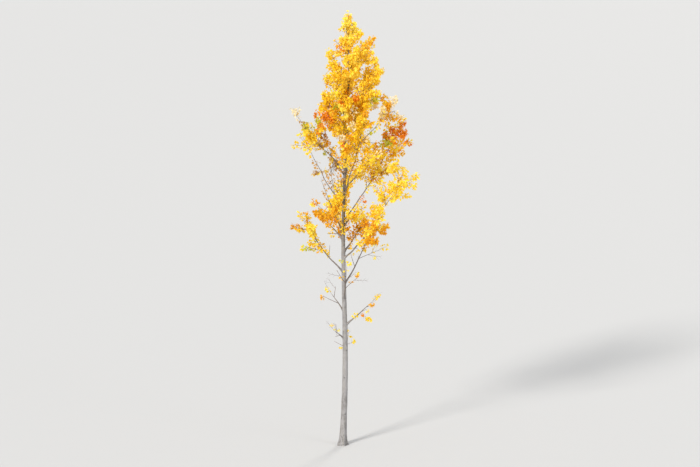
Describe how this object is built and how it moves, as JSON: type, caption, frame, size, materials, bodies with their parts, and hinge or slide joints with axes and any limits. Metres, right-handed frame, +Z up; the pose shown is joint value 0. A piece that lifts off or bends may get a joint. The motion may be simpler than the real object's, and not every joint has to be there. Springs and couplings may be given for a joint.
{
  "type": "poplar tree",
  "caption": "Slender young deciduous tree in golden autumn leaf, with a narrow crown of rising boughs on one pale upright trunk.",
  "frame": {"origin": "middle of the flat cut under the trunk, at ground level", "axes": "+Z up the tree, -Y towards the viewer of the picture, +X to the viewer's right"},
  "size_m": [3.3173, 3.0183, 11.6727],
  "materials": {
    "trunk_bark": "smooth pale grey bark, rougher and darker at the foot",
    "bough_bark": "smooth grey-brown bark",
    "foliage": "golden yellow autumn leaves, soft sheen"
  },
  "bodies": {
    "root": {"bough_01": "bough_bark", "bough_02": "bough_bark", "bough_03": "bough_bark", "bough_04": "bough_bark", "bough_05": "bough_bark", "bough_06": "bough_bark", "bough_07": "bough_bark", "bough_08": "bough_bark", "bough_09": "bough_bark", "bough_10": "bough_bark", "bough_11": "bough_bark", "bough_12": "bough_bark", "bough_13": "bough_bark", "bough_14": "bough_bark", "bough_15": "bough_bark", "bough_16": "bough_bark", "foliage_01": "foliage", "foliage_02": "foliage", "foliage_03": "foliage", "foliage_04": "foliage", "foliage_05": "foliage", "foliage_06": "foliage", "foliage_07": "foliage", "foliage_08": "foliage", "foliage_09": "foliage", "foliage_10": "foliage", "foliage_11": "foliage", "foliage_12": "foliage", "foliage_13": "foliage", "foliage_14": "foliage", "foliage_15": "foliage", "foliage_16": "foliage", "inner_foliage_01": "foliage", "inner_foliage_02": "foliage", "inner_foliage_03": "foliage", "inner_foliage_04": "foliage", "inner_foliage_05": "foliage", "inner_foliage_06": "foliage", "inner_foliage_07": "foliage", "top_foliage": "foliage", "trunk": "trunk_bark", "upper_foliage_01": "foliage", "upper_foliage_02": "foliage", "upper_foliage_03": "foliage", "upper_foliage_04": "foliage", "upper_foliage_05": "foliage", "upper_foliage_06": "foliage", "upper_foliage_07": "foliage", "upper_foliage_08": "foliage", "upper_foliage_09": "foliage", "upper_foliage_10": "foliage", "upper_foliage_11": "foliage", "upper_foliage_12": "foliage", "upper_foliage_13": "foliage", "upper_foliage_14": "foliage"}
  },
  "joints": []
}
